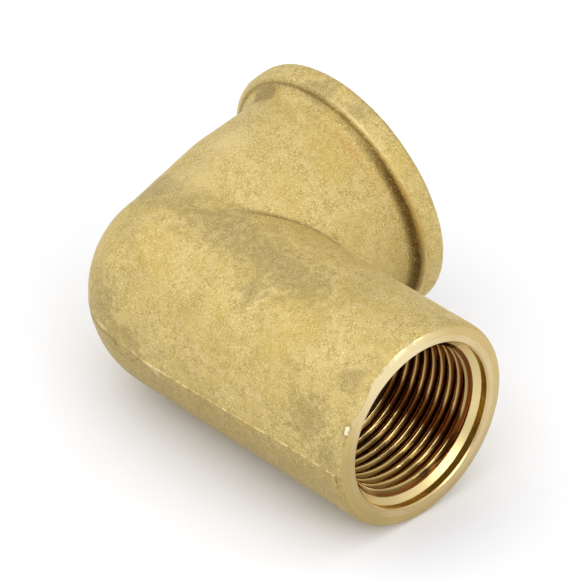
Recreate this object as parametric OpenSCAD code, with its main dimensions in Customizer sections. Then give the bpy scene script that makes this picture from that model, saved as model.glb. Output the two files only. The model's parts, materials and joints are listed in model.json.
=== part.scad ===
// Brass elbow: a long threaded barrel and a short collared neck, forged in one piece at a right angle.
// It lies on its side, on the barrel's flank and the collar's rim, with the barrel axis along X.

/* [Barrel] */
// Outside diameter of the long arm
barrel_d = 34; // [32:0.5:35.5]
// Crossing of the two axes to the barrel's machined end face
barrel_length = 50.3; // [47:0.2:60]
// Rounding that the forging has at the barrel's open end
barrel_corner_r = 1.2; // [0.6:0.1:1.6]
// How far facing the end cuts into that rounding
barrel_facing_cut = 0.1; // [0.05:0.05:0.3]
// Diameter within which the end face is turned flat
barrel_flat_d = 30.2; // [29.6:0.1:31.2]
// Slope in degrees of the turned face outside that diameter
barrel_rim_slope = 10; // [2:1:14]

/* [Neck] */
// Outside diameter of the short arm, where it has flared out
neck_d = 37.6; // [36.4:0.2:39]
// Distance from the crossing over which the neck flares from the barrel's diameter to its own
neck_flare_length = 14.5; // [10:0.5:18]
// Radius of the blend that ends the flare
neck_flare_blend_r = 20; // [10:1:30]
// Rounding of the inside corner where the neck meets the barrel
bend_r = 1.5; // [0.8:0.1:3]
// How wide that rounding is across the corner before it dies out into a crease
bend_width = 12; // [8:1:20]

/* [Collar] */
// Outside diameter of the collar round the neck's mouth
collar_d = 44; // [42:0.2:48]
// Thickness of the collar along the neck
collar_t = 4.4; // [4:0.1:6]
// Crossing of the two axes to the collar's face
collar_face = 33; // [32:0.2:40]
// Rounding of the collar's two rims
collar_rim_r = 1; // [0.5:0.1:1.6]
// Hollow fillet between the neck and the back of the collar
collar_fillet_r = 2; // [1:0.1:2.2]

/* [Parting line] */
// How far the trimmed seam of the forging stands out
seam_height = 0.15; // [0.1:0.05:0.3]
// Width of that seam
seam_width = 1.8; // [0.6:0.1:2.4]

/* [Barrel mouth] */
// Crest diameter of the internal three-quarter inch pipe thread
barrel_thread_d = 24.12; // [23.9:0.02:24.6]
// Counterbore floor to the end of the threaded wall
barrel_thread_length = 19; // [15:0.5:20]
// Diameter of the counterbore in the barrel's face
barrel_counterbore_d = 27.6; // [27:0.1:29]
// Depth of that counterbore
barrel_counterbore_depth = 1.4; // [1:0.1:2.5]
// Broken edge round that counterbore
barrel_edge_break = 0.25; // [0.1:0.05:0.5]
// Waterway behind the thread
barrel_waterway_d = 21; // [18:0.5:22]

/* [Neck mouth] */
// Crest diameter of the internal one inch pipe thread
neck_thread_d = 30.29; // [30:0.01:30.9]
// Counterbore floor to the end of the threaded wall
neck_thread_length = 16.5; // [14:0.5:17]
// Diameter of the counterbore in the collar's face
neck_counterbore_d = 34.6; // [34:0.1:36]
// Depth of that counterbore
neck_counterbore_depth = 1.4; // [1:0.1:2.5]
// Broken edge round that counterbore
neck_edge_break = 0.25; // [0.1:0.05:0.5]
// Waterway behind the thread
neck_waterway_d = 25; // [22:0.5:26]

/* [Hidden] */
$fn = 160;

barrel_r = barrel_d / 2;
neck_r = neck_d / 2;
collar_r = collar_d / 2;
collar_back = collar_face - collar_t;

// Slope that a drill leaves at the bottom of a hole: half of its point angle
drill_half_angle = 59;
// What a cut reaches past a face that it opens
cut_past = 1;
// How far the ends of the inside corner's rounding lie under the skin of the arms
bend_sink = 0.05;

// Half angle of the neck's flare, and how far the blend that ends it reaches along the neck
flare_angle = atan2(neck_r - barrel_r, neck_flare_length);
flare_blend_reach = neck_flare_blend_r * tan(flare_angle / 2);

// The part is rolled about the barrel until the collar's back rim touches the plane that the barrel lies on
rim_ring_y = collar_back + collar_rim_r;
rim_ring_r = collar_r - collar_rim_r;
lying_angle = atan2(rim_ring_r, rim_ring_y)
    - asin((barrel_r - collar_rim_r) / norm([rim_ring_y, rim_ring_r]));

// Middle of the lying part's outer box, seen from above. The seam's upper edge may reach past the barrel
front_ring_y = collar_face - collar_rim_r;
box_far_y = front_ring_y * cos(lying_angle) + rim_ring_r * sin(lying_angle) + collar_rim_r;
seam_near_y = (barrel_r + seam_height) * cos(lying_angle) + seam_width / 2 * sin(lying_angle);
box_near_y = max(barrel_r, seam_near_y);
box_middle_x = (barrel_length - collar_r - seam_height) / 2;
box_middle_y = (box_far_y - box_near_y) / 2;

// Turns a shape made along Z so that it points along the barrel
module along_barrel() {
    rotate([0, 90, 0]) children();
}

// Turns a shape made along Z so that it points along the neck
module along_neck() {
    rotate([-90, 0, 0]) children();
}

// Half section of the barrel, from the pole of its round heel to the faced end
module barrel_outline() {
    corner_y = barrel_length + barrel_facing_cut - barrel_corner_r;
    intersection() {
        circle(r = barrel_r);
        translate([0, -barrel_r]) square(barrel_r);
    }
    intersection() {
        union() {
            square([barrel_r, corner_y]);
            square([barrel_r - barrel_corner_r, barrel_length]);
            translate([barrel_r - barrel_corner_r, corner_y]) circle(r = barrel_corner_r);
        }
        barrel_facing();
    }
}

// What facing leaves of the barrel's end: flat round the mouth, then sloping a little to the rim
module barrel_facing() {
    flat_r = barrel_flat_d / 2;
    polygon([
        [0, 0],
        [barrel_r, 0],
        [barrel_r, barrel_length - (barrel_r - flat_r) * tan(barrel_rim_slope)],
        [flat_r, barrel_length],
        [0, barrel_length]
    ]);
}

// Half section of the neck: the flare, its blend, the straight part, the hollow fillet and the collar
module neck_outline() {
    difference() {
        polygon([
            [0, 0],
            [barrel_r, 0],
            [neck_r, neck_flare_length],
            [neck_r, collar_face - collar_rim_r],
            [0, collar_face - collar_rim_r]
        ]);
        flare_blend_cut();
    }
    translate([neck_r, collar_back - collar_fillet_r]) difference() {
        translate([-collar_rim_r, 0]) square([collar_fillet_r + collar_rim_r, collar_fillet_r + collar_rim_r]);
        translate([collar_fillet_r, 0]) circle(r = collar_fillet_r);
    }
    translate([0, collar_back + collar_rim_r]) square([collar_r, collar_t - 2 * collar_rim_r]);
    translate([0, collar_back]) square([collar_r - collar_rim_r, collar_t]);
    for (y = [collar_back + collar_rim_r, collar_face - collar_rim_r])
        translate([collar_r - collar_rim_r, y]) circle(r = collar_rim_r);
}

// What the blend takes off the corner between the flare and the straight neck
module flare_blend_cut() {
    corner = [neck_r, neck_flare_length];
    down_flare = [-sin(flare_angle), -cos(flare_angle)];
    difference() {
        polygon([
            corner + [0, flare_blend_reach],
            corner + flare_blend_reach * down_flare,
            corner + [1, 0]
        ]);
        translate([neck_r - neck_flare_blend_r, neck_flare_length + flare_blend_reach])
            circle(r = neck_flare_blend_r, $fn = 720);
    }
}

// The rounded inside corner between the arms: a quarter of a slim pipe bend, sunk in both arms
module inner_bend() {
    bend_middle = [neck_r, barrel_r] + (bend_r - bend_sink) * [1, 1];
    translate([bend_middle.x, bend_middle.y, 0]) rotate([0, 0, 180]) rotate_extrude(angle = 90)
        translate([bend_r + bend_width / 2, 0]) circle(d = bend_width);
}

// Seam of the two die halves, in the plane of both axes
module parting_seam() {
    linear_extrude(height = seam_width, center = true) {
        circle(r = barrel_r + seam_height);
        translate([0, -barrel_r - seam_height])
            square([barrel_length - barrel_corner_r, 2 * (barrel_r + seam_height)]);
        polygon([
            [-barrel_r - seam_height, 0],
            [barrel_r + seam_height, 0],
            [neck_r + seam_height, neck_flare_length],
            [neck_r + seam_height, collar_back],
            [-neck_r - seam_height, collar_back],
            [-neck_r - seam_height, neck_flare_length]
        ]);
        translate([-collar_r - seam_height, collar_back + collar_rim_r])
            square([2 * (collar_r + seam_height), collar_t - 2 * collar_rim_r]);
    }
}

// Half section of what is cut from a mouth: counterbore, countersink, tapped wall, drill step and waterway
module mouth_cut(face, counterbore_d, counterbore_depth, edge_break, thread_d, thread_length, waterway_d) {
    floor_y = face - counterbore_depth;
    edge_r = counterbore_d / 2 + edge_break;
    thread_end = floor_y - thread_length;
    step = (thread_d - waterway_d) / 2 / tan(drill_half_angle);
    sink = (counterbore_d - thread_d) / 2;
    polygon([
        [0, 0],
        [waterway_d / 2, 0],
        [waterway_d / 2, thread_end - step],
        [thread_d / 2, thread_end],
        [thread_d / 2, floor_y - sink],
        [counterbore_d / 2, floor_y],
        [counterbore_d / 2, face - edge_break],
        [edge_r + cut_past, face + cut_past],
        [0, face + cut_past]
    ]);
}

// The hollow: two bored mouths that meet in a ball-ended pocket at the crossing
module waterway() {
    along_barrel() rotate_extrude() mouth_cut(barrel_length, barrel_counterbore_d, barrel_counterbore_depth,
        barrel_edge_break, barrel_thread_d, barrel_thread_length, barrel_waterway_d);
    along_neck() rotate_extrude() {
        mouth_cut(collar_face, neck_counterbore_d, neck_counterbore_depth,
            neck_edge_break, neck_thread_d, neck_thread_length, neck_waterway_d);
        intersection() {
            circle(r = neck_waterway_d / 2);
            translate([0, -neck_waterway_d]) square(neck_waterway_d);
        }
    }
}

module elbow_body() {
    color([0.80, 0.68, 0.38])
    translate([-box_middle_x, -box_middle_y, barrel_r]) rotate([lying_angle, 0, 0]) difference() {
        union() {
            along_barrel() rotate_extrude() barrel_outline();
            along_neck() rotate_extrude() neck_outline();
            inner_bend();
            parting_seam();
        }
        waterway();
    }
}

elbow_body();
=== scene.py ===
# %% [markdown]
# # A forged brass elbow
#
# The real object is one forging. Red hot brass is pressed between two dies, the thin flash that
# squeezes out between them is sheared off, the part is blasted and tumbled, and a lathe then faces
# both ends and bores and taps the two mouths. This lesson makes it in the same order: a blank is
# blocked out and worn like a forging, then cut like a machined part, and each kind of surface gets
# its own finish at the end.

# %% Load the measured part
import json
import math

import bpy
from mathutils import Matrix, Quaternion, Vector


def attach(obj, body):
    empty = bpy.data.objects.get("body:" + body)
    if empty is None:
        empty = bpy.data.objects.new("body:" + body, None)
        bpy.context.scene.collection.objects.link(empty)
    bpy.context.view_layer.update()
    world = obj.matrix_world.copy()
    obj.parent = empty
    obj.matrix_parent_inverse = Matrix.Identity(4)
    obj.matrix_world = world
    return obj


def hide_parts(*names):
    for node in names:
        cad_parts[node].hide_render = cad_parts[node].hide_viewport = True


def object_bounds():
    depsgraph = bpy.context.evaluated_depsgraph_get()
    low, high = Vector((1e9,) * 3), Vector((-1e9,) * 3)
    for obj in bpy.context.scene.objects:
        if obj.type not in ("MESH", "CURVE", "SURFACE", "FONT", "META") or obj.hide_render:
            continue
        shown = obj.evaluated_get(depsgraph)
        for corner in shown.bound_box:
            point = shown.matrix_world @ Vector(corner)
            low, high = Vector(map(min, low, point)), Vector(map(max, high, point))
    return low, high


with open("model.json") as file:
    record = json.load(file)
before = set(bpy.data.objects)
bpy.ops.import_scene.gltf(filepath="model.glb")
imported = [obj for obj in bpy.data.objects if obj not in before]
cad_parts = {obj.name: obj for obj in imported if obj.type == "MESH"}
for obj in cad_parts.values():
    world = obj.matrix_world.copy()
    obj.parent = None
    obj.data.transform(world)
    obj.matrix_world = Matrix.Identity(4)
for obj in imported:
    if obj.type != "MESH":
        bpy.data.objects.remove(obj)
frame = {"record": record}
cad_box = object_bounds()


def in_mm(box):
    """The corners of a box in millimetres, rounded for printing."""
    return [[round(c * 1000, 2) for c in corner] for corner in box]


print("measured box in mm", in_mm(cad_box))

# %% [markdown]
# Everything is placed from the measured part. Its mounts say where the two bored mouths are and
# which way they point, so the crossing of the two axes and the roll of the lying part follow from
# them. The shapes are drawn in the elbow's own frame, with that crossing at the origin, X out of
# the barrel and Y out of the neck. One unit is a millimetre there, which keeps the numbers plain
# and the cuts exact, and the finished piece is shrunk to metres when it is laid down.

# %% The elbow's own frame
MM = 0.001
# How far the seam of the measured part stands out of its skin
MEASURED_SEAM = 0.15

mounts = {mount["name"]: mount for mount in frame["record"]["mounts"]}


def place_of(name):
    """Where a mount is, in millimetres."""
    return Vector(mounts[name]["pos_m"]) / MM


neck_way = Vector(mounts["neck_thread"]["axis"])
lying_angle = math.atan2(neck_way.z, neck_way.y)
barrel_mouth = place_of("barrel_thread")
crossing = Vector((place_of("neck_thread").x, barrel_mouth.y, barrel_mouth.z))
barrel_r = crossing.z
barrel_face = place_of("barrel_face").x - crossing.x
collar_face = (place_of("collar_face") - crossing).dot(neck_way)
collar_r = crossing.x - cad_box[0].x / MM - MEASURED_SEAM
lay_down = (
    Matrix.Translation(crossing * MM)
    @ Matrix.Rotation(lying_angle, 4, "X")
    @ Matrix.Scale(MM, 4)
)
print("barrel radius", round(barrel_r, 2), "and face at", round(barrel_face, 2))
print("collar radius", round(collar_r, 2), "and face at", round(collar_face, 2))

# %% [markdown]
# ## Camera, paper and light
#
# The camera looks down at the barrel's mouth from far off through a long lens. Its place was found
# by fitting the outline of the elbow's turned shapes. Places are in millimetres from the middle of
# the ground that the elbow covers.

# %% Camera
CAMERA_PLACE = Vector((442.73, -413.62, 436.86))
CAMERA_AIM = Vector((-2.05, -0.80, 18.63))
CAMERA_ROLL = math.radians(-0.42)
LENS = 294.35
FILM_WIDTH = 36
# The nearest and farthest that the camera sees, in metres
NEAREST = 0.05
FARTHEST = 20

look = CAMERA_AIM - CAMERA_PLACE
eye = bpy.data.objects.new("eye", bpy.data.cameras.new("eye"))
bpy.context.scene.collection.objects.link(eye)
eye.rotation_mode = "QUATERNION"
eye.rotation_quaternion = Quaternion(look.normalized(), -CAMERA_ROLL) @ look.to_track_quat("-Z", "Y")
eye.location = CAMERA_PLACE * MM
eye.data.lens = LENS
eye.data.sensor_width = FILM_WIDTH
eye.data.clip_start = NEAREST
eye.data.clip_end = FARTHEST
bpy.context.scene.camera = eye
print("camera", round(look.length), "mm away, turned", [round(c, 4) for c in eye.rotation_quaternion])

# %% [markdown]
# Lights and finishes are made of nodes. Written as node trees they are hard to read, so two small
# classes are defined first. A recipe adds nodes to one tree, and a value is what comes out of a
# node. Values can be added and multiplied as in any sum, and each step adds its own Math node.

# %% Values
class Value:
    """A number, vector or colour on its way through a node tree."""

    def __init__(self, recipe, socket):
        self.recipe = recipe
        self.socket = socket

    def math(self, operation, *others):
        """A Math node that takes this value first."""
        sockets = dict(enumerate((self, *others)))
        return self.recipe.node("ShaderNodeMath", {"operation": operation}, sockets)

    def vector(self, operation, other=(0, 0, 0), out=0):
        """A Vector Math node that takes this value first."""
        return self.recipe.node("ShaderNodeVectorMath", {"operation": operation}, {0: self, 1: other}, out)

    def __add__(self, other):
        return self.math("ADD", other)

    def __sub__(self, other):
        return self.math("SUBTRACT", other)

    def __mul__(self, other):
        return self.math("MULTIPLY", other)

    def __rsub__(self, other):
        return self.recipe.node("ShaderNodeMath", {"operation": "SUBTRACT"}, {0: other, 1: self})

    __radd__ = __add__
    __rmul__ = __mul__

    def root(self):
        return self.math("SQRT")

    def at_most(self, limit):
        return self.math("MINIMUM", limit)

    def at_least(self, limit):
        return self.math("MAXIMUM", limit)

    def rising(self, start, end):
        """0 up to start and 1 from end on, with a soft step between them."""
        settings = {"interpolation_type": "SMOOTHSTEP"}
        return self.recipe.node("ShaderNodeMapRange", settings, {0: self, 1: start, 2: end})

    def falling(self, start, end):
        """1 up to start and 0 from end on."""
        return 1 - self.rising(start, end)

    def within(self, start, full, fade, end):
        """1 from full to fade, and 0 before start and after end."""
        return self.rising(start, full) * self.falling(fade, end)

    def blend(self, low, high):
        """A colour that is low where this value is 0, and high where it is 1."""
        return self.recipe.node("ShaderNodeMix", {"data_type": "RGBA"}, {0: self, 6: low, 7: high}, 2)

    def away_from(self, start, end):
        """How far this place lies from a straight line between two points."""
        run = Vector(end) - Vector(start)
        gap = self.vector("SUBTRACT", Vector(start))
        share = gap.vector("DOT_PRODUCT", run / run.length_squared, 1).at_least(0.0).at_most(1.0)
        foot = self.recipe.node("ShaderNodeVectorMath", {"operation": "SCALE"}, {0: run, "Scale": share})
        return gap.vector("SUBTRACT", foot).vector("LENGTH", out=1)


# %% Recipes
class Recipe:
    """A node tree, with one way to add a node to it."""

    def __init__(self, tree):
        self.tree = tree

    def node(self, kind, settings=None, sockets=None, out=0):
        """Adds a node: its settings first, then the values or links of its sockets."""
        added = self.tree.nodes.new(kind)
        for setting, choice in (settings or {}).items():
            if setting == "stops":
                self.set_stops(added.color_ramp, choice)
            else:
                setattr(added, setting, choice)
        for socket, value in (sockets or {}).items():
            self.feed(added.inputs[socket], value)
        return Value(self, added.outputs[out])

    def feed(self, socket, value):
        """Links a value to a socket, or sets a plain number or colour on it."""
        if isinstance(value, Value):
            self.tree.links.new(value.socket, socket)
        elif isinstance(value, Vector):
            socket.default_value = tuple(value)
        else:
            socket.default_value = value

    def set_stops(self, ramp, stops):
        """Sets the places and colours of a colour ramp, which starts with two stops."""
        for index, (place, colour) in enumerate(stops):
            stop = ramp.elements[index] if index < 2 else ramp.elements.new(place)
            stop.position = place
            stop.color = colour

    def noise(self, place, scale, detail=3.0, roughness=0.6):
        """Soft noise with so many bumps to a millimetre, mostly between 0.3 and 0.7."""
        sockets = {"Vector": place, "Scale": scale, "Detail": detail, "Roughness": roughness}
        return self.node("ShaderNodeTexNoise", {}, sockets)


print("values and recipes are ready")

# %% [markdown]
# The elbow lies on plain white paper, as in a catalogue. A large plane is enough, because the paper
# has no edge in view. It is a little less than white and nearly matt, so it keeps the soft shadow.

# %% White paper
PAPER_WIDTH = 4
PAPER_WHITE = (0.85, 0.855, 0.88, 1)
PAPER_ROUGHNESS = 0.9
PAPER_SHINE = 0.1

bpy.context.scene.view_settings.view_transform = "Standard"


def deselect():
    bpy.ops.object.select_all(action="DESELECT")


deselect()
bpy.ops.mesh.primitive_plane_add(size=PAPER_WIDTH, location=(0, 0, 0))
paper = bpy.context.object
paper.name = "paper"
white = bpy.data.materials.new("matt white paper")
white.use_nodes = True
sheet = white.node_tree.nodes["Principled BSDF"]
sheet.inputs["Base Color"].default_value = PAPER_WHITE
sheet.inputs["Roughness"].default_value = PAPER_ROUGHNESS
sheet.inputs["Specular IOR Level"].default_value = PAPER_SHINE
paper.data.materials.append(white)
print("paper", PAPER_WIDTH, "m wide")

# %% [markdown]
# Bare metal shows little but its surroundings, so the room is made with care. It is brightest
# overhead and at the left, where a wide white screen stands, so the long side of the barrel mirrors
# the screen and the shadow stays close to the elbow. Beyond the barrel's mouth the room is open and
# dark, and that darkness is what many flanks of the thread mirror. All of it is worked out from the
# direction of a ray alone: a dot product says how close a ray comes to the screen or the doorway.

# %% A bright room with a dark doorway
WALL_LEVEL = 0.55
CEILING_LEVEL = 1.35
SCREEN_LEVEL = 0.50
SCREEN_WAY = Vector((-0.6, -0.72, 0.3)).normalized()
SCREEN_REACH = (0.2, 1.0)
DARK_LEVEL = 0.06
DARK_WAY = Vector((0.98, 0.15, 0.06)).normalized()
DARK_REACH = (0.88, 0.945)

world = bpy.data.worlds.new("white room")
bpy.context.scene.world = world
world.use_nodes = True
room = Recipe(world.node_tree)
ray_way = room.node("ShaderNodeTexCoord", out="Generated")
upward = room.node("ShaderNodeSeparateXYZ", {}, {0: ray_way}, 2).at_least(0.0)
screen = ray_way.vector("DOT_PRODUCT", SCREEN_WAY, 1).rising(*SCREEN_REACH)
walls = upward * (CEILING_LEVEL - WALL_LEVEL) + screen * SCREEN_LEVEL + WALL_LEVEL
doorway = ray_way.vector("DOT_PRODUCT", DARK_WAY, 1).rising(*DARK_REACH)
background = world.node_tree.nodes["Background"]
background.inputs["Color"].default_value = (1, 1, 1, 1)
room.feed(background.inputs["Strength"], walls * (1 - doorway) + doorway * DARK_LEVEL)
print("the room has", len(world.node_tree.nodes), "nodes")

# %% [markdown]
# Two soft boxes shine into the barrel's mouth. The long one stands where the countersink and the
# crests at the bottom of the mouth mirror it, and draws their bright edges. The narrow one stands
# lower and gives the flanks there a thin line of light.

# %% Two soft boxes
LAMP_DISTANCE = 0.7
# The way to each lamp from the elbow, then its width and height in metres and its watts
LAMPS = {
    "long_soft_box": ((0.815, -0.17, 0.55), 0.44, 0.22, 1.0),
    "narrow_strip": ((0.91, 0.38, 0.147), 0.05, 0.12, 0.45),
}

for name, (way, width, height, watts) in LAMPS.items():
    lamp = bpy.data.objects.new(name, bpy.data.lights.new(name, "AREA"))
    bpy.context.scene.collection.objects.link(lamp)
    lamp.location = Vector(way).normalized() * LAMP_DISTANCE
    lamp.rotation_mode = "QUATERNION"
    lamp.rotation_quaternion = (-Vector(way)).to_track_quat("-Z", "Y")
    lamp.data.shape = "RECTANGLE"
    lamp.data.size = width
    lamp.data.size_y = height
    lamp.data.energy = watts
    print(name, "stands at", [round(c, 3) for c in lamp.location])

# %% [markdown]
# ## Blocking out the blank
#
# Both arms of the elbow are bodies of revolution. Each is drawn as half a section, one vertex that
# is extruded from point to point, and then spun round its axis. Round stretches are true arcs, so
# a corner's radius stays a number that can be changed.

# %% Helpers to draw and turn
SPIN_STEPS = 192
# Points that are closer than this are one point
MERGE_GAP = 0.0005


def arc(middle, radius, start, end, steps=8):
    """Points of an arc round a middle, from one angle to another in degrees."""
    turns = [math.radians(start + (end - start) * i / steps) for i in range(steps + 1)]
    return [(middle[0] + radius * math.cos(t), middle[1] + radius * math.sin(t)) for t in turns]


def draw(name, points):
    """Draws an open line through points by extruding one vertex, and leaves it in edit mode."""
    deselect()
    bpy.ops.mesh.primitive_plane_add(size=1)
    piece = bpy.context.object
    piece.name = name
    bpy.ops.object.mode_set(mode="EDIT")
    bpy.ops.mesh.merge(type="CENTER")
    bpy.ops.transform.translate(value=points[0])
    for here, there in zip(points, points[1:]):
        step = Vector(there) - Vector(here)
        bpy.ops.mesh.extrude_region_move(TRANSFORM_OT_translate={"value": step})
    bpy.ops.mesh.select_all(action="SELECT")
    return piece


def clean_up():
    """Merges doubles and turns all faces outwards, in edit mode, and goes back to object mode."""
    bpy.ops.mesh.select_all(action="SELECT")
    bpy.ops.mesh.remove_doubles(threshold=MERGE_GAP)
    bpy.ops.mesh.normals_make_consistent(inside=False)
    bpy.ops.object.mode_set(mode="OBJECT")


def turned(name, outline, along):
    """A solid of revolution round X or Y. The outline's points are (along the axis, radius)."""
    flat = [(a, r, 0) if along == "X" else (r, a, 0) for a, r in outline]
    piece = draw(name, flat)
    axis = (1, 0, 0) if along == "X" else (0, 1, 0)
    bpy.ops.mesh.spin(steps=SPIN_STEPS, angle=2 * math.pi, center=(0, 0, 0), axis=axis)
    clean_up()
    return piece


def count(piece):
    """Says how many triangles a piece has."""
    triangles = sum(len(face.vertices) - 2 for face in piece.data.polygons)
    print(piece.name, "has", triangles, "triangles")


# %% [markdown]
# The barrel is a plain round bar that ends in half a ball at the heel. Its other end has a rounded
# corner, and stands a little past the face, so that the lathe has something to take off later.

# %% The barrel with its round heel
BARREL_CORNER_R = 1.2
FACING_CUT = 0.1

blank_end = barrel_face + FACING_CUT
barrel = turned(
    "barrel",
    arc((0, 0), barrel_r, 180, 90, steps=48)
    + arc((blank_end - BARREL_CORNER_R, barrel_r - BARREL_CORNER_R), BARREL_CORNER_R, 90, 0)
    + [(blank_end, 0)],
    "X",
)
count(barrel)

# %% [markdown]
# The neck starts as wide as the barrel, flares out in a straight cone and goes over into its own
# width in a large blend. A hollow fillet leads to the back of the collar, whose two rims are
# rounded. All of it is one outline, so no joint shows between them.

# %% The flared neck and its collar
NECK_R = 18.8
FLARE_LENGTH = 14.5
FLARE_BLEND_R = 20
COLLAR_T = 4.4
COLLAR_RIM_R = 1.0
COLLAR_FILLET_R = 2.0

collar_back = collar_face - COLLAR_T
collar_front = collar_face + FACING_CUT
flare_angle = math.degrees(math.atan2(NECK_R - barrel_r, FLARE_LENGTH))
blend_reach = FLARE_BLEND_R * math.tan(math.radians(flare_angle / 2))
blend_middle = (FLARE_LENGTH + blend_reach, NECK_R - FLARE_BLEND_R)
rim_middle_r = collar_r - COLLAR_RIM_R
neck = turned(
    "neck",
    [(0, 0), (0, barrel_r)]
    + arc(blend_middle, FLARE_BLEND_R, 90 + flare_angle, 90, steps=6)
    + arc((collar_back - COLLAR_FILLET_R, NECK_R + COLLAR_FILLET_R), COLLAR_FILLET_R, -90, 0)
    + arc((collar_back + COLLAR_RIM_R, rim_middle_r), COLLAR_RIM_R, 180, 90)
    + arc((collar_front - COLLAR_RIM_R, rim_middle_r), COLLAR_RIM_R, 90, 0)
    + [(collar_front, 0)],
    "Y",
)
count(neck)

# %% [markdown]
# The two arms meet at a right angle in a crease that is only rounded right in the corner. A slim
# circle spun a quarter turn about the middle of that rounding fills it, and lies under the skin of
# both arms everywhere else.

# %% The inside bend
BEND_R = 1.5
BEND_WIDTH = 12.0
BEND_SINK = 0.05

bend_middle = Vector((NECK_R, barrel_r, 0)) + Vector((1, 1, 0)) * (BEND_R - BEND_SINK)
deselect()
bpy.ops.mesh.primitive_circle_add(
    vertices=96,
    radius=BEND_WIDTH / 2,
    fill_type="NGON",
    location=bend_middle - Vector((0, BEND_R + BEND_WIDTH / 2, 0)),
    rotation=(0, math.pi / 2, 0),
)
bend = bpy.context.object
bend.name = "bend"
bpy.ops.object.transform_apply()
bpy.ops.object.mode_set(mode="EDIT")
bpy.ops.mesh.extrude_region_move()
bpy.ops.mesh.spin(steps=40, angle=math.pi / 2, center=bend_middle, axis=(0, 0, 1))
clean_up()
count(bend)

# %% [markdown]
# From here on the pieces are worked with modifiers. Each is applied at once, so the next step finds
# a plain mesh. Cutting and adding is done with the exact Manifold solver, which needs closed bodies
# and gives a closed body back.

# %% Helpers to work on a piece
def work_on(piece):
    """Selects one piece alone and makes it the active one."""
    deselect()
    piece.select_set(True)
    bpy.context.view_layer.objects.active = piece


def finish_with(piece, kind, **settings):
    """Adds a modifier to a piece and applies it."""
    work_on(piece)
    modifier = piece.modifiers.new(kind.title(), kind)
    for setting, value in settings.items():
        setattr(modifier, setting, value)
    bpy.ops.object.modifier_apply(modifier=modifier.name)


def combine(piece, operation, tools):
    """Adds tools to a piece, or cuts it with them, and throws the tools away."""
    for tool in tools:
        finish_with(piece, "BOOLEAN", operation=operation, solver="MANIFOLD", object=tool)
        bpy.data.objects.remove(tool)


# %% [markdown]
# The three bodies are joined and run through a voxel remesh, which melts them into one skin of
# small even faces. The forging has a low spot on the rim of its barrel, which a large ball presses
# in before the skin is remeshed once more. Turns round the barrel are counted in degrees from the
# neck's side.

# %% One skin with a low spot
VOXEL = 0.46
LOW_SPOT_TURN = 131
LOW_SPOT_BALL_R = 18
LOW_SPOT_DEPTH = 0.55
# How far the spot lies behind the face and under the skin, and how it leans out of the barrel
LOW_SPOT_BACK = 0.25
LOW_SPOT_UNDER = 0.35
LOW_SPOT_LEAN = (0.66, 0.75)


def round_the_barrel(x, radius, degrees):
    """A point at a distance from the barrel's axis, at an angle that starts from the neck's side."""
    turn = math.radians(degrees)
    return Vector((x, radius * math.cos(turn), radius * math.sin(turn)))


def ball(name, spot, outward, radius, depth):
    """A ball that presses to a depth into a spot of the skin, along the outward direction."""
    deselect()
    way = Vector(outward).normalized()
    bpy.ops.mesh.primitive_uv_sphere_add(
        segments=128,
        ring_count=64,
        radius=radius,
        location=Vector(spot) + way * (radius - depth),
    )
    tool = bpy.context.object
    tool.name = name
    return tool


work_on(barrel)
neck.select_set(True)
bend.select_set(True)
bpy.ops.object.join()
elbow = bpy.context.object
elbow.name = "elbow"
finish_with(elbow, "REMESH", mode="VOXEL", voxel_size=VOXEL)

low_spot = round_the_barrel(barrel_face - LOW_SPOT_BACK, barrel_r - LOW_SPOT_UNDER, LOW_SPOT_TURN)
low_spot_way = round_the_barrel(*LOW_SPOT_LEAN, LOW_SPOT_TURN)
low_spot_ball = ball("low_spot_ball", low_spot, low_spot_way, LOW_SPOT_BALL_R, LOW_SPOT_DEPTH)
combine(elbow, "DIFFERENCE", [low_spot_ball])
finish_with(elbow, "REMESH", mode="VOXEL", voxel_size=VOXEL)
count(elbow)

# %% [markdown]
# Smoothing rounds every edge as the tumbling does, and a displacement by slow noise makes the faces
# as uneven as dies leave them. Its rest level lies above the middle of the noise, so that nearly
# all of it moves the skin inwards and the elbow doesn't outgrow the measured part.

# %% Tumbled and uneven
UNEVEN_SIZE = 5.0
UNEVEN_DEPTH = 0.12
UNEVEN_REST = 0.65

finish_with(elbow, "SMOOTH", factor=0.5, iterations=4)

unevenness = bpy.data.textures.new("forging_unevenness", "CLOUDS")
unevenness.noise_scale = UNEVEN_SIZE
unevenness.noise_depth = 2
finish_with(
    elbow,
    "DISPLACE",
    texture=unevenness,
    texture_coords="LOCAL",
    strength=UNEVEN_DEPTH,
    mid_level=UNEVEN_REST,
)
count(elbow)

# %% [markdown]
# The two dies meet in the plane of both axes. Shearing off the flash leaves a low flat land along
# the outline of the elbow. Round the heel and the neck it is drawn as that outline, a little
# outside the skin and slightly wavy, filled and extruded to the width of the land. Towards the
# barrel's front it sinks into the skin of the heel.

# %% The land of the parting line
LAND_STAND = 0.06
LAND_WIDTH = 1.8
LAND_STEP = 2.5
# The waves of its height: how much, how fast and how far shifted
LAND_WAVES = [(0.025, 0.9, 0.0), (0.015, 2.3, 1.0)]
HEEL_END = 269
HEEL_STEPS = 24
HEEL_FADE = 1.5


def wavy(place):
    """How far the land stands out of the nominal skin, at a distance along it."""
    stand = LAND_STAND
    for height, rate, shift in LAND_WAVES:
        stand += height * math.sin(rate * place + shift)
    return stand


def solid_from(name, points, push, slant=1.0):
    """A plate with an outline through points, pushed out to a thickness, taller or lower there."""
    piece = draw(name, points + points[:1])
    bpy.ops.mesh.remove_doubles(threshold=MERGE_GAP)
    bpy.ops.mesh.edge_face_add()
    bpy.ops.mesh.extrude_region_move(TRANSFORM_OT_translate={"value": push})
    bpy.ops.transform.resize(value=(1, 1, slant), center_override=(0, 0, -LAND_WIDTH / 2))
    clean_up()
    count(piece)
    return piece


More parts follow.
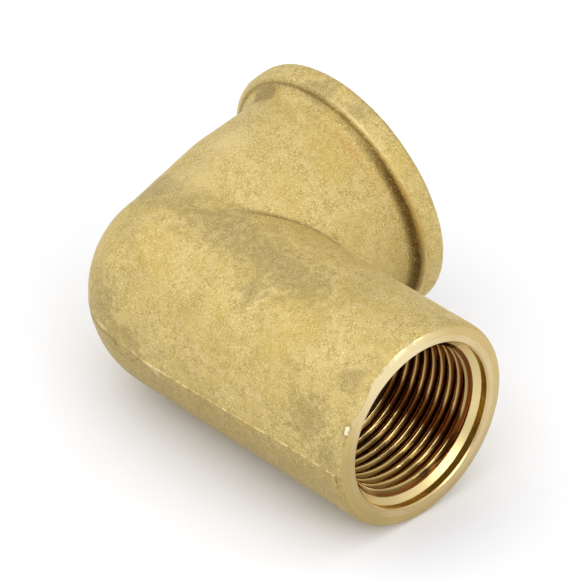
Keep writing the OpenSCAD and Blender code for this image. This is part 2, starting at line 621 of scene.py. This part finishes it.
land_end = blank_end - BARREL_CORNER_R
neck_land_r = NECK_R + LAND_STAND
collar_land_r = collar_r + LAND_STAND
flank_steps = round((land_end - neck_land_r) / LAND_STEP)
hidden_flank = [land_end + (neck_land_r - land_end) * i / flank_steps for i in range(flank_steps + 1)]

heel_edge = []
for i, point in enumerate(arc((0, 0), barrel_r, 180, HEEL_END, steps=HEEL_STEPS)):
    left_over = 1 - (i / HEEL_STEPS) ** HEEL_FADE
    heel_edge.append(Vector(point) * (1 + LAND_STAND / barrel_r * left_over))

land_outline = (
    [(land_end, 0)]
    + [(x, barrel_r + wavy(x)) for x in hidden_flank]
    + [(0, barrel_r), (0, collar_front - COLLAR_RIM_R)]
    + [(-collar_land_r, collar_front - COLLAR_RIM_R), (-collar_land_r, collar_back + COLLAR_RIM_R)]
    + [(-neck_land_r, collar_back), (-neck_land_r, FLARE_LENGTH)]
    + heel_edge
    + [(0, 0)]
)
land = solid_from("land", [(x, y, -LAND_WIDTH / 2) for x, y in land_outline], (0, 0, LAND_WIDTH))

# %% [markdown]
# Along the front of the barrel the shear has cut a flat strip whose upper edge climbs towards the
# mouth, so that strip is drawn from the side. Its edge and its height follow lines through a few
# measured points, first the distance from the crossing and then the height. The strip leans, so it
# is made taller inside the barrel than outside. Both bodies are then united with the blank.

# %% The sheared strip
STRIP_EDGE = [
    (0, 1.1), (3, 0.9), (6, 0.3), (7.5, 0.22), (13, 0.46),
    (21.5, 0.78), (29, 1.0), (35.5, 1.5), (41, 1.66), (50, 1.58),
]
STRIP_STAND = [(0, -0.01), (5, 0.07), (20, 0.09), (36, 0.03), (50, 0.0)]
STRIP_WAVE = 0.04
STRIP_WAVE_RATE = 1.7
STRIP_DEPTH = 0.8
STRIP_SLANT = 1.5


def between(points, place):
    """The height of a line through points at a place along it."""
    for (here, low), (there, high) in zip(points, points[1:]):
        if here <= place <= there:
            return low + (high - low) * (place - here) / (there - here)
    return points[-1][1]


upper_edge = []
lower_edge = []
strip_steps = round(land_end / LAND_STEP)
for i in range(strip_steps + 1):
    x = land_end * i / strip_steps
    y = -barrel_r - between(STRIP_STAND, x)
    upper_edge.append((x, y, between(STRIP_EDGE, x) + STRIP_WAVE * math.sin(STRIP_WAVE_RATE * x)))
    lower_edge.append((x, y, -LAND_WIDTH / 2))
strip = solid_from("strip", upper_edge + lower_edge[::-1], (0, STRIP_DEPTH, 0), STRIP_SLANT)
combine(elbow, "UNION", [land, strip])
count(elbow)

# %% [markdown]
# ## Machining
#
# The lathe work is done with solid tools, as in the shop: what a tool sweeps is a closed body that
# is cut from the blank. A pipe thread has a flank angle of 55 degrees and round crests and roots,
# and its depth and rounding are fixed shares of its pitch. One pitch of it is drawn and screwed
# along the axis, which gives the solid that the tap sweeps. The screw begins two pitches early, and
# two plane cuts then trim it to the length of the thread.

# %% Taps
THREAD_ROUNDING = 0.137329
THREAD_DEPTH = 0.640327
# How far a crest or root turns before the straight flank begins: 90 degrees less half of the angle
THREAD_TURN = 62.5
TAP_STEPS = 96
TAP_RUN_IN = 2


def thread_outline(pitch, root_r):
    """One pitch of a pipe thread from root to root, rounded at crest and root."""
    round_r = THREAD_ROUNDING * pitch
    depth = THREAD_DEPTH * pitch
    root = arc((0, root_r - round_r), round_r, 90, 90 - THREAD_TURN, steps=2)
    crest_middle = (pitch / 2, root_r - depth + round_r)
    crest = arc(crest_middle, round_r, 270 - THREAD_TURN, 270 + THREAD_TURN, steps=4)
    return root + crest + [(pitch - a, r) for a, r in reversed(root)]


def tap(name, pitch, root_r, start, end, lead, along):
    """The solid that a tap sweeps out, cut off at both ends. Lead shifts the thread outwards."""
    turns = math.ceil((end - start) / pitch) + TAP_RUN_IN + 1
    begin = start - TAP_RUN_IN * pitch + lead
    outline = thread_outline(pitch, root_r)
    flat = [(begin + a, r, 0) if along == "X" else (r, begin + a, 0) for a, r in outline]
    piece = draw(name, flat)
    bpy.ops.object.mode_set(mode="OBJECT")
    finish_with(
        piece,
        "SCREW",
        axis=along,
        angle=2 * math.pi,
        screw_offset=pitch,
        iterations=turns,
        steps=TAP_STEPS,
        render_steps=TAP_STEPS,
        use_merge_vertices=False,
    )
    bpy.ops.object.mode_set(mode="EDIT")
    bpy.ops.mesh.select_all(action="SELECT")
    bpy.ops.mesh.remove_doubles(threshold=MERGE_GAP)
    way = Vector((1, 0, 0)) if along == "X" else Vector((0, 1, 0))
    for at, side in ((start, -1), (end, 1)):
        bpy.ops.mesh.select_all(action="SELECT")
        bpy.ops.mesh.bisect(plane_co=way * at, plane_no=way * side, use_fill=True, clear_outer=True)
    clean_up()
    count(piece)
    return piece


# %% [markdown]
# The barrel takes a three quarter inch pipe and the neck a one inch pipe, so their threads have
# different pitches. The taps run from the end of the threaded wall to just under the countersink.

# %% The two threads
COUNTERBORE_DEPTH = 1.4
THREAD_START = 2.32
BARREL_PITCH = 1.814
BARREL_ROOT_R = 13.22
BARREL_THREAD_LENGTH = 19.0
BARREL_LEAD = 0.1
NECK_PITCH = 2.309
NECK_ROOT_R = 16.62
NECK_THREAD_LENGTH = 16.5
NECK_LEAD = 0

barrel_thread_end = barrel_face - COUNTERBORE_DEPTH - BARREL_THREAD_LENGTH
barrel_thread_start = barrel_face - THREAD_START
barrel_tap = tap(
    "barrel_tap", BARREL_PITCH, BARREL_ROOT_R, barrel_thread_end, barrel_thread_start, BARREL_LEAD, "X"
)
neck_thread_end = collar_face - COUNTERBORE_DEPTH - NECK_THREAD_LENGTH
neck_thread_start = collar_face - THREAD_START
neck_tap = tap(
    "neck_tap", NECK_PITCH, NECK_ROOT_R, neck_thread_end, neck_thread_start, NECK_LEAD, "Y"
)

# %% [markdown]
# The boring tools are turned bodies too. Each has the counterbore with its broken edge, the
# countersink, the tapping hole, the slope that a drill leaves and the waterway. Behind the heel the
# two waterways meet in a round pocket. Boring tools and taps are united first, so the hollow is
# cut out in one go.

# %% Boring tools
DRILL_SLOPE = math.tan(math.radians(59))
EDGE_BREAK = 0.25
CUT_PAST = 1.0
BARREL_COUNTERBORE_R = 13.8
BARREL_CREST_R = 12.06
BARREL_WATERWAY_R = 10.5
NECK_COUNTERBORE_R = 17.3
NECK_CREST_R = 15.145
NECK_WATERWAY_R = 12.5


def boring_tool(name, face, counterbore_r, crest_r, thread_length, waterway_r, along):
    """Counterbore, countersink, tapping hole, drill slope and waterway, in one turned cutter."""
    floor = face - COUNTERBORE_DEPTH
    thread_end = floor - thread_length
    step = (crest_r - waterway_r) / DRILL_SLOPE
    pole = [(0, 0), (0, waterway_r)] if along == "X" else arc((0, 0), waterway_r, 180, 90, steps=32)
    return turned(
        name,
        pole
        + [
            (thread_end - step, waterway_r),
            (thread_end, crest_r),
            (floor - (counterbore_r - crest_r), crest_r),
            (floor, counterbore_r),
            (face - EDGE_BREAK, counterbore_r),
            (face + CUT_PAST, counterbore_r + EDGE_BREAK + CUT_PAST),
            (face + 2 * CUT_PAST, 0),
        ],
        along,
    )


barrel_cutter = boring_tool(
    "barrel_cutter",
    barrel_face,
    BARREL_COUNTERBORE_R,
    BARREL_CREST_R,
    BARREL_THREAD_LENGTH,
    BARREL_WATERWAY_R,
    "X",
)
neck_cutter = boring_tool(
    "neck_cutter",
    collar_face,
    NECK_COUNTERBORE_R,
    NECK_CREST_R,
    NECK_THREAD_LENGTH,
    NECK_WATERWAY_R,
    "Y",
)
combine(barrel_cutter, "UNION", [barrel_tap, neck_cutter, neck_tap])
count(barrel_cutter)

# %% [markdown]
# The facing tool of the barrel leaves its end flat round the mouth and slopes it a little towards
# the rim. The collar is faced flat. Then both ends are faced and the hollow is cut out.

# %% Facing and boring
FLAT_R = 15.1
RIM_SLOPE = math.tan(math.radians(10))
FACING_REACH = 30.0
FACING_THICKNESS = 5


def facing_tool(name, face, slope, along):
    """What facing takes off an end: all past the face, and a little more outside the flat."""
    fall = (FACING_REACH - FLAT_R) * slope
    back = face + FACING_THICKNESS
    outline = [(face, 0), (face, FLAT_R), (face - fall, FACING_REACH), (back, FACING_REACH), (back, 0)]
    return turned(name, outline, along)


facing_barrel = facing_tool("facing_barrel", barrel_face, RIM_SLOPE, "X")
facing_collar = facing_tool("facing_collar", collar_face, 0, "Y")
combine(elbow, "DIFFERENCE", [facing_barrel, facing_collar, barrel_cutter])
count(elbow)

# %% [markdown]
# The elbow rests on the barrel's flank and the collar's rim. It is rolled, moved and shrunk to
# metres in one step, and that step is applied to the mesh, so the piece itself stays at the origin.
# Edges that are sharper than the angle below stay crisp, and all others are shaded smooth.

# %% Lay the elbow down
CRISP_ANGLE = math.radians(35)

work_on(elbow)
elbow.matrix_world = lay_down
bpy.ops.object.transform_apply(location=True, rotation=True, scale=True)
bpy.ops.object.shade_smooth_by_angle(angle=CRISP_ANGLE)
count(elbow)

# %% [markdown]
# ## The brass and its finishes
#
# It is one metal with three finishes: the satin skin that blasting and tumbling leave, the bright
# turned faces, and the darker glossy threads. Where one ends and the next begins depends only on
# the place, so the material starts by turning Object coordinates back into the elbow's own frame
# in millimetres. From there it measures how far a point is from each axis.

# %% Where a point is
metal = bpy.data.materials.new("brass")
metal.use_nodes = True
surface = metal.node_tree.nodes["Principled BSDF"]
surface.inputs["Metallic"].default_value = 1
brass = Recipe(metal.node_tree)


def tell(finish):
    """Says how many nodes the brass has once a finish is in."""
    print("with", finish, "the brass has", len(metal.node_tree.nodes), "nodes")


spot = brass.node(
    "ShaderNodeMapping",
    {"vector_type": "TEXTURE"},
    {
        "Vector": brass.node("ShaderNodeTexCoord", out="Object"),
        "Location": crossing * MM,
        "Rotation": (lying_angle, 0, 0),
        "Scale": (MM, MM, MM),
    },
)
along, across, up = [brass.node("ShaderNodeSeparateXYZ", {}, {0: spot}, axis) for axis in range(3)]
from_barrel = (across * across + up * up).root()
from_neck = (along * along + up * up).root()
behind = along.at_most(0.0)
below = across.at_most(0.0)
from_barrel_bore = (behind * behind + across * across + up * up).root()
from_neck_bore = (along * along + below * below + up * up).root()
tell("the distances")

# %% [markdown]
# A point is inside when it lies nearer to a bore's axis than the edge of its mouth. The neck's
# mouth is a cone that widens outwards, because its counterbore is wider than the whole body is at
# the crossing. A point is on a turned face when it lies in the plane of the face, or on the slope
# outside the barrel's flat.

# %% Inside, and on a turned face
BARREL_MOUTH_R = 14.06
MOUTH_EDGE = 0.02
NECK_MOUTH_R = 16.0
NECK_MOUTH_EDGE = 0.05
NECK_MOUTH_GROWTH = 0.05
# How far under a face its finish starts, and where it is full
FACE_START = 0.03
BARREL_FACE_FULL = 0.012
COLLAR_FACE_FULL = 0.01

in_barrel = from_barrel_bore.falling(BARREL_MOUTH_R - MOUTH_EDGE, BARREL_MOUTH_R + MOUTH_EDGE)
from_neck_cone = from_neck_bore - across.at_least(0.0) * NECK_MOUTH_GROWTH
in_neck = from_neck_cone.falling(NECK_MOUTH_R - NECK_MOUTH_EDGE, NECK_MOUTH_R)
inside = in_barrel.at_least(in_neck)
depth = (barrel_face - along).at_most(collar_face - across)

faced_x = barrel_face - (from_barrel - FLAT_R).at_least(0.0) * RIM_SLOPE
barrel_ring = (along - faced_x).rising(-FACE_START, -BARREL_FACE_FULL)
collar_ring = across.rising(collar_face - FACE_START, collar_face - COLLAR_FACE_FULL)
faced = barrel_ring.at_least(collar_ring)
machined = faced.at_least(inside)
tell("the zones")

# %% [markdown]
# The skin of the forging is a fine even speckle, because every grain of the blasting left its own
# small face. Slower noise adds mottling and drifts of yellow. Finish by finish, one colour is laid
# over another where a mask says, and the number beside the mask is the most that it covers.

# %% The forging's skin
DARK_GRAIN = (0.39, 0.30, 0.10, 1)
PALE_GRAIN = (0.75, 0.59, 0.25, 1)
MOTTLED = (0.72, 0.58, 0.27, 1)
YELLOWED = (0.57, 0.435, 0.13, 1)


def laid_over(colour, layers):
    """A colour with layers over it, each with its mask, the most that it covers and its tone."""
    for mask, cover, tone in layers:
        colour = (mask * cover).blend(colour, tone)
    return colour


grain = brass.noise(spot, 5.5, 2.0, 0.6)
pebble = brass.noise(spot, 2.2, 3.0, 0.65)
mottle = brass.noise(spot, 0.6, 4.0, 0.6)
cloud = brass.noise(spot, 0.13, 4.0, 0.55)
drift = brass.noise(spot, 0.19, 3.0, 0.5)
speck = (grain * 0.6 + pebble * 0.4).rising(0.37, 0.63)

skin = laid_over(speck.blend(DARK_GRAIN, PALE_GRAIN), [
    (mottle.rising(0.42, 0.62), 0.45, MOTTLED),
    (drift.rising(0.46, 0.60), 0.35, YELLOWED),
])
tell("the speckled skin")

# %% [markdown]
# Some places of the skin are golden, some pale, and grey brown tarnish gathers along the middle of
# the body. Each is a round patch with a ragged edge, given by its middle in the elbow's own frame
# and its reach. The tarnish of the middle lies along a line instead.

# %% Golden, pale and tarnished places
GOLD = (0.56, 0.42, 0.11, 1)
PALE = (0.84, 0.70, 0.38, 1)
TARNISH = (0.33, 0.26, 0.11, 1)
GOLDEN_PLACES = [
    ((31, -11, 13), 7.0),
    ((22, -14, 10), 6.0),
    ((30, -4, 16.5), 5.0),
    ((12, -13, 11), 5.0),
    ((10, 22, 16), 5.0),
    ((16, 31, 15), 4.0),
    ((34, -7, 15), 6.0),
    ((2, -9, 15), 6.0),
]
PALE_PLACES = [((-3.5, 5, 17), 6.0), ((-4.5, 14.5, 18), 5.0)]
TARNISHED_PLACES = [
    ((-15, -6, 6), 5.0),
    ((-5, -14.5, 5), 7.5),
    ((3, -16.5, 3), 4.0),
    ((-1, -17, 2), 4.5),
    ((22, -6, 16), 4.0),
    ((48, -17, 4), 5.0),
    ((42, -15, 8), 6.0),
    ((1, 29, 21.5), 4.5),
    ((8, 30, 20), 3.5),
    ((19.9, 31, -9.3), 0.8),
    ((47, -9, 14.5), 4.0),
]
BODY_MIDDLE = ((-9, 2, 14.5), (29, -1, 17))
# Within this share of its reach a patch is full, and so strongly the mottling moves its edge
PATCH_CORE = 0.2
PATCH_RAGGED = 1.5


def strongest(masks):
    """The greatest of several masks at each point."""
    together = masks[0]
    for mask in masks[1:]:
        together = together.at_least(mask)
    return together


def patches(places):
    """1 in the middle of any of the places and 0 outside them, with a ragged edge."""
    masks = []
    for middle, reach in places:
        ragged = (mottle - 0.5) * (reach * PATCH_RAGGED)
        gap = spot.vector("SUBTRACT", Vector(middle)).vector("LENGTH", out=1) + ragged
        masks.append(gap.falling(reach * PATCH_CORE, reach))
    return strongest(masks)


body_middle = (spot.away_from(*BODY_MIDDLE) + (mottle - 0.5) * 9.0).falling(0.5, 6.5)
clouded = cloud.rising(0.50, 0.68) * across.falling(10.0, 18.0)
tarnish = strongest([clouded * 0.2, patches(TARNISHED_PLACES) * 0.45, body_middle * 0.5])
skin = laid_over(skin, [(patches(GOLDEN_PLACES), 0.35, GOLD), (patches(PALE_PLACES), 0.35, PALE)])
skin = tarnish.blend(skin, TARNISH)
tell("the coloured places")

# %% [markdown]
# Painted shade darkens the crease between the arms, the hollow and the groove under the collar,
# and one spot of the collar's back. A brown streak of painted reflection runs beside the hollow,
# and the collar's back edge carries a painted highlight. Last, a few of the highest grains get a
# painted glint.

# %% Painted shade, a painted edge highlight and painted glints
# The colour of the painted shade in the crease, the hollow, the groove and one spot of the collar
HOLLOW_SHADE = (0.15, 0.085, 0.015, 1)
# A brown painted reflection beside the hollow
BROWN_REFLECTION = (0.50, 0.29, 0.06, 1)
# A painted highlight on the collar's back edge
COLLAR_EDGE_HIGHLIGHT = (0.90, 0.72, 0.35, 1)
# Painted glints on the highest grains
GRAIN_GLINT = (0.98, 0.86, 0.56, 1)
# How far from both arms the crease's painted shade begins to thin out, and where it ends
CREASE_FULL = 0.05
CREASE_END = 0.6
COLLAR_SPOT = ((-12.5, 27.6, 14.5), (-9.5, 27.9, 17.0))

neck_skin_r = (across * (1 / FLARE_LENGTH)).at_most(1.0) * (NECK_R - barrel_r) + barrel_r
near_barrel = from_barrel.falling(barrel_r + CREASE_FULL, barrel_r + CREASE_END)
near_neck = (from_neck - neck_skin_r).falling(CREASE_FULL, CREASE_END)
crease = near_barrel * near_neck * along.rising(4.0, 12.0) * across.rising(0.0, 4.0)
groove = across.rising(28.0, 28.4) * from_neck.within(20.0, 20.5, 20.8, 21.0)
hollow = across.rising(27.2, 28.4) * from_neck.falling(20.5, 21.0) * along.rising(7.0, 17.0)
collar_spot = spot.away_from(*COLLAR_SPOT).falling(0.6, 2.6)
# Painted shade in the crease, the hollow, the groove and one spot of the collar's back
painted_shade = strongest([crease * 0.85, hollow * 0.9, groove * 0.5, collar_spot * 0.55])
# Where the brown painted reflection runs beside the hollow
reflected_streak = across.within(25.4, 26.4, 27.0, 27.8) * along.within(4.0, 9.0, 13.0, 17.0)
collar_edge = across.within(28.2, 28.6, 28.9, 29.3) * from_neck.rising(21.0, 21.5)

skin = (painted_shade * (mottle.rising(0.2, 0.6) * 0.4 + 0.6)).blend(skin, HOLLOW_SHADE)
skin = laid_over(skin, [
    (reflected_streak * up.rising(0.0, 3.0) * mottle.rising(0.35, 0.6), 0.5, BROWN_REFLECTION),
    (collar_edge * along.rising(4.0, 10.0), 0.8, COLLAR_EDGE_HIGHLIGHT),
    (grain.rising(0.59, 0.69), 0.6, GRAIN_GLINT),
])
tell("dirt and sparkle")

# %% [markdown]
# The sheared land is smoother than the skin above it and faces down, so painted shade makes it
# darker, and its upper edge carries a thin painted highlight line. The same points that gave the
# strip its edge say where that line runs: a colour ramp along the barrel holds their heights as
# shares of its length and of a full level.

# %% The sheared land
# Painted shade for the land, and a painted highlight for its upper edge
LAND_SHADE_DARK = (0.27, 0.20, 0.07, 1)
LAND_SHADE_PALE = (0.50, 0.38, 0.15, 1)
LAND_EDGE_HIGHLIGHT = (0.90, 0.76, 0.44, 1)
STRIP_LENGTH = 50.0
STRIP_LEVEL = 2.0

edge_stops = [(x / STRIP_LENGTH, [z / STRIP_LEVEL] * 3 + [1]) for x, z in STRIP_EDGE]
edge_ramp = brass.node("ShaderNodeValToRGB", {"stops": edge_stops}, {0: along * (1 / STRIP_LENGTH)})
over_edge = up - edge_ramp * STRIP_LEVEL
ragged_edge = over_edge + (pebble - 0.5) * 0.35
on_front = across.falling(-12.0, -6.0)
# Below the edge on the front, where the land gets painted shade
shaded_underside = over_edge.falling(-0.15, 0.03) * on_front
# The painted highlight line along the land's upper edge
painted_land_edge = ragged_edge.within(-0.16, -0.05, 0.06, 0.16) * on_front * along.rising(5.0, 8.0)
skin = laid_over(skin, [
    (shaded_underside, 0.6, speck.blend(LAND_SHADE_DARK, LAND_SHADE_PALE)),
    (painted_land_edge * mottle.rising(0.44, 0.62), 0.75, LAND_EDGE_HIGHLIGHT),
])
tell("the sheared land")

# %% [markdown]
# A few marks finish the skin: dark folds, where the hot metal lapped over itself, and bright scuffs
# from other forgings in the tumbler. Each is a short line from point to point with its width, and
# the noise of the pebbles makes its edge ragged.

# %% Folds and scuffs
SCUFF = (0.90, 0.77, 0.45, 1)
FOLD = (0.20, 0.12, 0.04, 1)
FOLDS = [
    ((0.4, -16.9, -1.3), (2.6, -16.9, -1.8), 0.20),
    ((2.6, -16.9, -1.8), (5.2, -17.0, 0.2), 0.20),
    ((16.0, 15.2, 9.4), (16.8, 15.6, 8.6), 0.30),
    ((39.5, -15.6, 6.8), (41.4, -16.3, 4.9), 0.14),
]
SCUFFS = [
    ((-5.6, -16.0, 1.5), (-2.2, -16.8, 1.9), 0.4),
    ((7.6, -17.0, 0.5), (9.3, -17.0, -0.5), 0.75),
    ((-5.0, 26.9, 18.1), (1.1, 24.4, 18.8), 0.22),
    ((-3.6, 26.9, 18.5), (2.2, 24.6, 18.8), 0.22),
]
# Within this share of its width a mark is full, and so strongly the pebbles move its edge
MARK_CORE = 0.2
MARK_RAGGED = 3.0


def marks(lines):
    """1 on any of the lines and 0 away from them, with a ragged edge."""
    masks = []
    for start, end, width in lines:
        gap = spot.away_from(start, end) + (pebble - 0.5) * (width * MARK_RAGGED)
        masks.append(gap.falling(width * MARK_CORE, width))
    return strongest(masks)


skin = laid_over(skin, [(marks(SCUFFS), 0.35, SCUFF), (marks(FOLDS), 0.4, FOLD)])
tell("folds and scuffs")

# %% [markdown]
# The turned faces carry the fine rings of the tool, so their noise depends on the distance from
# the axis alone. Round the mouth the face is paler, and towards the rim it turns yellow. Handling
# has browned it in clouds, a painted highlight lightens it at the upper left, and painted shade
# darkens it low at the left.

# %% The turned faces
PALE_RING = ((0.62, 0.48, 0.25, 1), (0.70, 0.56, 0.31, 1))
YELLOW_RING = ((0.55, 0.405, 0.155, 1), (0.62, 0.47, 0.20, 1))
HANDLED = (0.54, 0.39, 0.15, 1)
# A painted highlight at the upper left of the face, and painted shade low at its left
RING_HIGHLIGHT = (0.85, 0.73, 0.43, 1)
RING_SHADE = (0.44, 0.33, 0.13, 1)

ring_place = barrel_ring * from_barrel + (1 - barrel_ring) * from_neck
tool_rings = brass.node(
    "ShaderNodeTexNoise",
    {"noise_dimensions": "1D"},
    {"W": ring_place, "Scale": 5.0, "Detail": 3.0, "Roughness": 0.7},
)
ring_tone = tool_rings.rising(0.3, 0.7)
outer_ring = from_barrel.rising(FLAT_R - 0.1, FLAT_R + 0.1)
rings = outer_ring.blend(ring_tone.blend(*PALE_RING), ring_tone.blend(*YELLOW_RING))
rings = laid_over(rings, [
    (cloud.rising(0.42, 0.64), 0.3, HANDLED),
    (up.rising(6.0, 15.0) * across.falling(-2.0, 10.0), 0.7, RING_HIGHLIGHT),
    (across.falling(-12.0, -7.0) * up.falling(3.0, 9.0), 0.7, RING_SHADE),
])
tell("the turned faces")

# %% [markdown]
# The rim of the barrel has taken one knock. It is a short line on the rim's corner: a painted glint
# where it was struck, and painted shade round that.

# %% The knock
# A painted glint on the knock, and painted shade round it
KNOCK_GLINT = (1.0, 0.92, 0.66, 1)
KNOCK_SHADE = (0.30, 0.20, 0.05, 1)
KNOCK_TURNS = (145.5, 148.5)
# How far the knock lies behind the face and under the skin
KNOCK_BACK = 0.4
KNOCK_UNDER = 0.25

knock = [round_the_barrel(barrel_face - KNOCK_BACK, barrel_r - KNOCK_UNDER, turn) for turn in KNOCK_TURNS]
from_knock = spot.away_from(*knock) + (pebble - 0.5) * 1.0
knock_glint = from_knock.falling(0.2, 0.42)
knock_shade = from_knock.falling(0.5, 1.0)
tell("the knock")

# %% [markdown]
# Down a mouth the finish changes with the depth: the yellow brown wall of the counterbore, the
# bright countersink, the thread, which the tapping oil has left brown, and the dull waterway. Two
# colour ramps along the depth hold the tones and the gloss of them all.

# %% Down the mouths
RAMP_DEPTH = 25.0
RIM = (0.62, 0.47, 0.22, 1)
WALL = (0.90, 0.61, 0.17, 1)
SINK = (0.76, 0.61, 0.30, 1)
FLANK = (0.23, 0.135, 0.035, 1)
WATERWAY = (0.24, 0.15, 0.07, 1)


def down(stops):
    """A colour ramp along the depth in a mouth, whose stops are in millimetres."""
    shares = [(place / RAMP_DEPTH, colour) for place, colour in stops]
    return brass.node("ShaderNodeValToRGB", {"stops": shares}, {0: depth * (1 / RAMP_DEPTH)})


def grey(level):
    return (level, level, level, 1)


bore = down([
    (0.0, RIM),
    (0.24, RIM),
    (0.28, WALL),
    (1.38, WALL),
    (1.42, SINK),
    (2.28, SINK),
    (2.36, FLANK),
    (17.0, FLANK),
    (20.0, WATERWAY),
])
bore_roughness = down([
    (0.0, grey(0.26)),
    (1.38, grey(0.26)),
    (1.42, grey(0.36)),
    (2.28, grey(0.36)),
    (2.36, grey(0.10)),
    (17.0, grey(0.16)),
    (20.0, grey(0.50)),
])
tell("the bores")

# %% [markdown]
# On the thread the oil lies in red brown stains, the roots carry a painted red brown shade, and the
# crests are painted pale as a painted reflection of the room. On the side of the barrel towards the
# neck the flanks are painted nearly black as a painted reflection of the dark doorway, the crests are
# painted duller, and over a short stretch they vanish in that painted darkness.

# %% Roots, flanks and crests
STAINED = (0.26, 0.11, 0.025, 1)
# A painted reflection of the dark doorway on the flanks towards the neck
DARK_FLANK_REFLECTION = (0.12, 0.035, 0.006, 1)
# Painted red brown shade in the roots
ROOT_SHADE = (0.22, 0.055, 0.009, 1)
# Pale crests, a painted reflection of the room
CREST = (0.60, 0.44, 0.18, 1)


def by_mouth(in_the_barrel, in_the_neck):
    """One value inside the barrel's mouth and another in the neck's."""
    return in_barrel * in_the_barrel + (1 - in_barrel) * in_the_neck


threaded = depth.within(2.3, 2.4, 17.0, 20.0)
in_root = by_mouth(from_barrel_bore.rising(12.6, 13.0), from_neck_bore.rising(15.9, 16.3))
on_crest = by_mouth(from_barrel_bore.falling(12.25, 12.45), from_neck_bore.falling(15.3, 15.55))
# Where the flanks take the painted dark reflection
dark_reflection_side = across.rising(3.5, 7.5)
# Where the crests vanish in that painted darkness
dark_reflection_gap = across.within(6.4, 7.6, 9.6, 10.8) * up.falling(-2.0, 0.0)
# Crests painted pale as painted reflection, duller towards the neck
pale_crest_reflection = on_crest * threaded * (1 - dark_reflection_gap * 0.95) * (1 - dark_reflection_side * 0.3)
bore = laid_over(bore, [
    (mottle.rising(0.35, 0.65) * threaded, 0.35, STAINED),
    (dark_reflection_side * in_barrel * threaded, 1.0, DARK_FLANK_REFLECTION),
    (in_root * threaded, 0.8, ROOT_SHADE),
    (pale_crest_reflection, 0.9, CREST),
])
tell("the threads")

# %% [markdown]
# Last the zones are laid over each other: skin first, the turned faces over it, then the bores and
# the knock. The same masks choose the gloss, and the height that feeds the bump: grain and mottling
# on the skin, and the tool's rings on what is machined.

# %% Together
SKIN_ROUGHNESS = 0.56
FACE_ROUGHNESS = 0.24
BUMP_MM = 0.07

colour = inside.blend(faced.blend(skin, rings), bore)
colour = laid_over(colour, [(knock_shade, 0.45, KNOCK_SHADE), (knock_glint, 0.95, KNOCK_GLINT)])
brass.feed(surface.inputs["Base Color"], colour)

worn_smooth = shaded_underside * 0.08 + collar_edge * 0.2
skin_roughness = speck * 0.10 + tarnish * 0.12 - worn_smooth + SKIN_ROUGHNESS
face_roughness = ring_tone * 0.12 + FACE_ROUGHNESS
roughness = skin_roughness * (1 - faced) + face_roughness * faced
roughness = roughness * (1 - inside) + bore_roughness * inside
roughness = roughness * (1 - knock_glint * 0.6)
brass.feed(surface.inputs["Roughness"], roughness)

skin_height = grain * 0.8 + pebble * 1.2 + mottle * 2.0
height = skin_height * (1 - machined) + tool_rings * machined * 0.25
bump = brass.node("ShaderNodeBump", {}, {"Strength": 1.0, "Distance": BUMP_MM * MM, "Height": height})
brass.feed(surface.inputs["Normal"], bump)
tell("everything")

# %% [markdown]
# The elbow takes the brass and stands for the measured part. It has no joints, so it rides on the
# root.

# %% Hand over
elbow.data.materials.clear()
elbow.data.materials.append(metal)
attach(elbow, "root")
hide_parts("elbow_body")
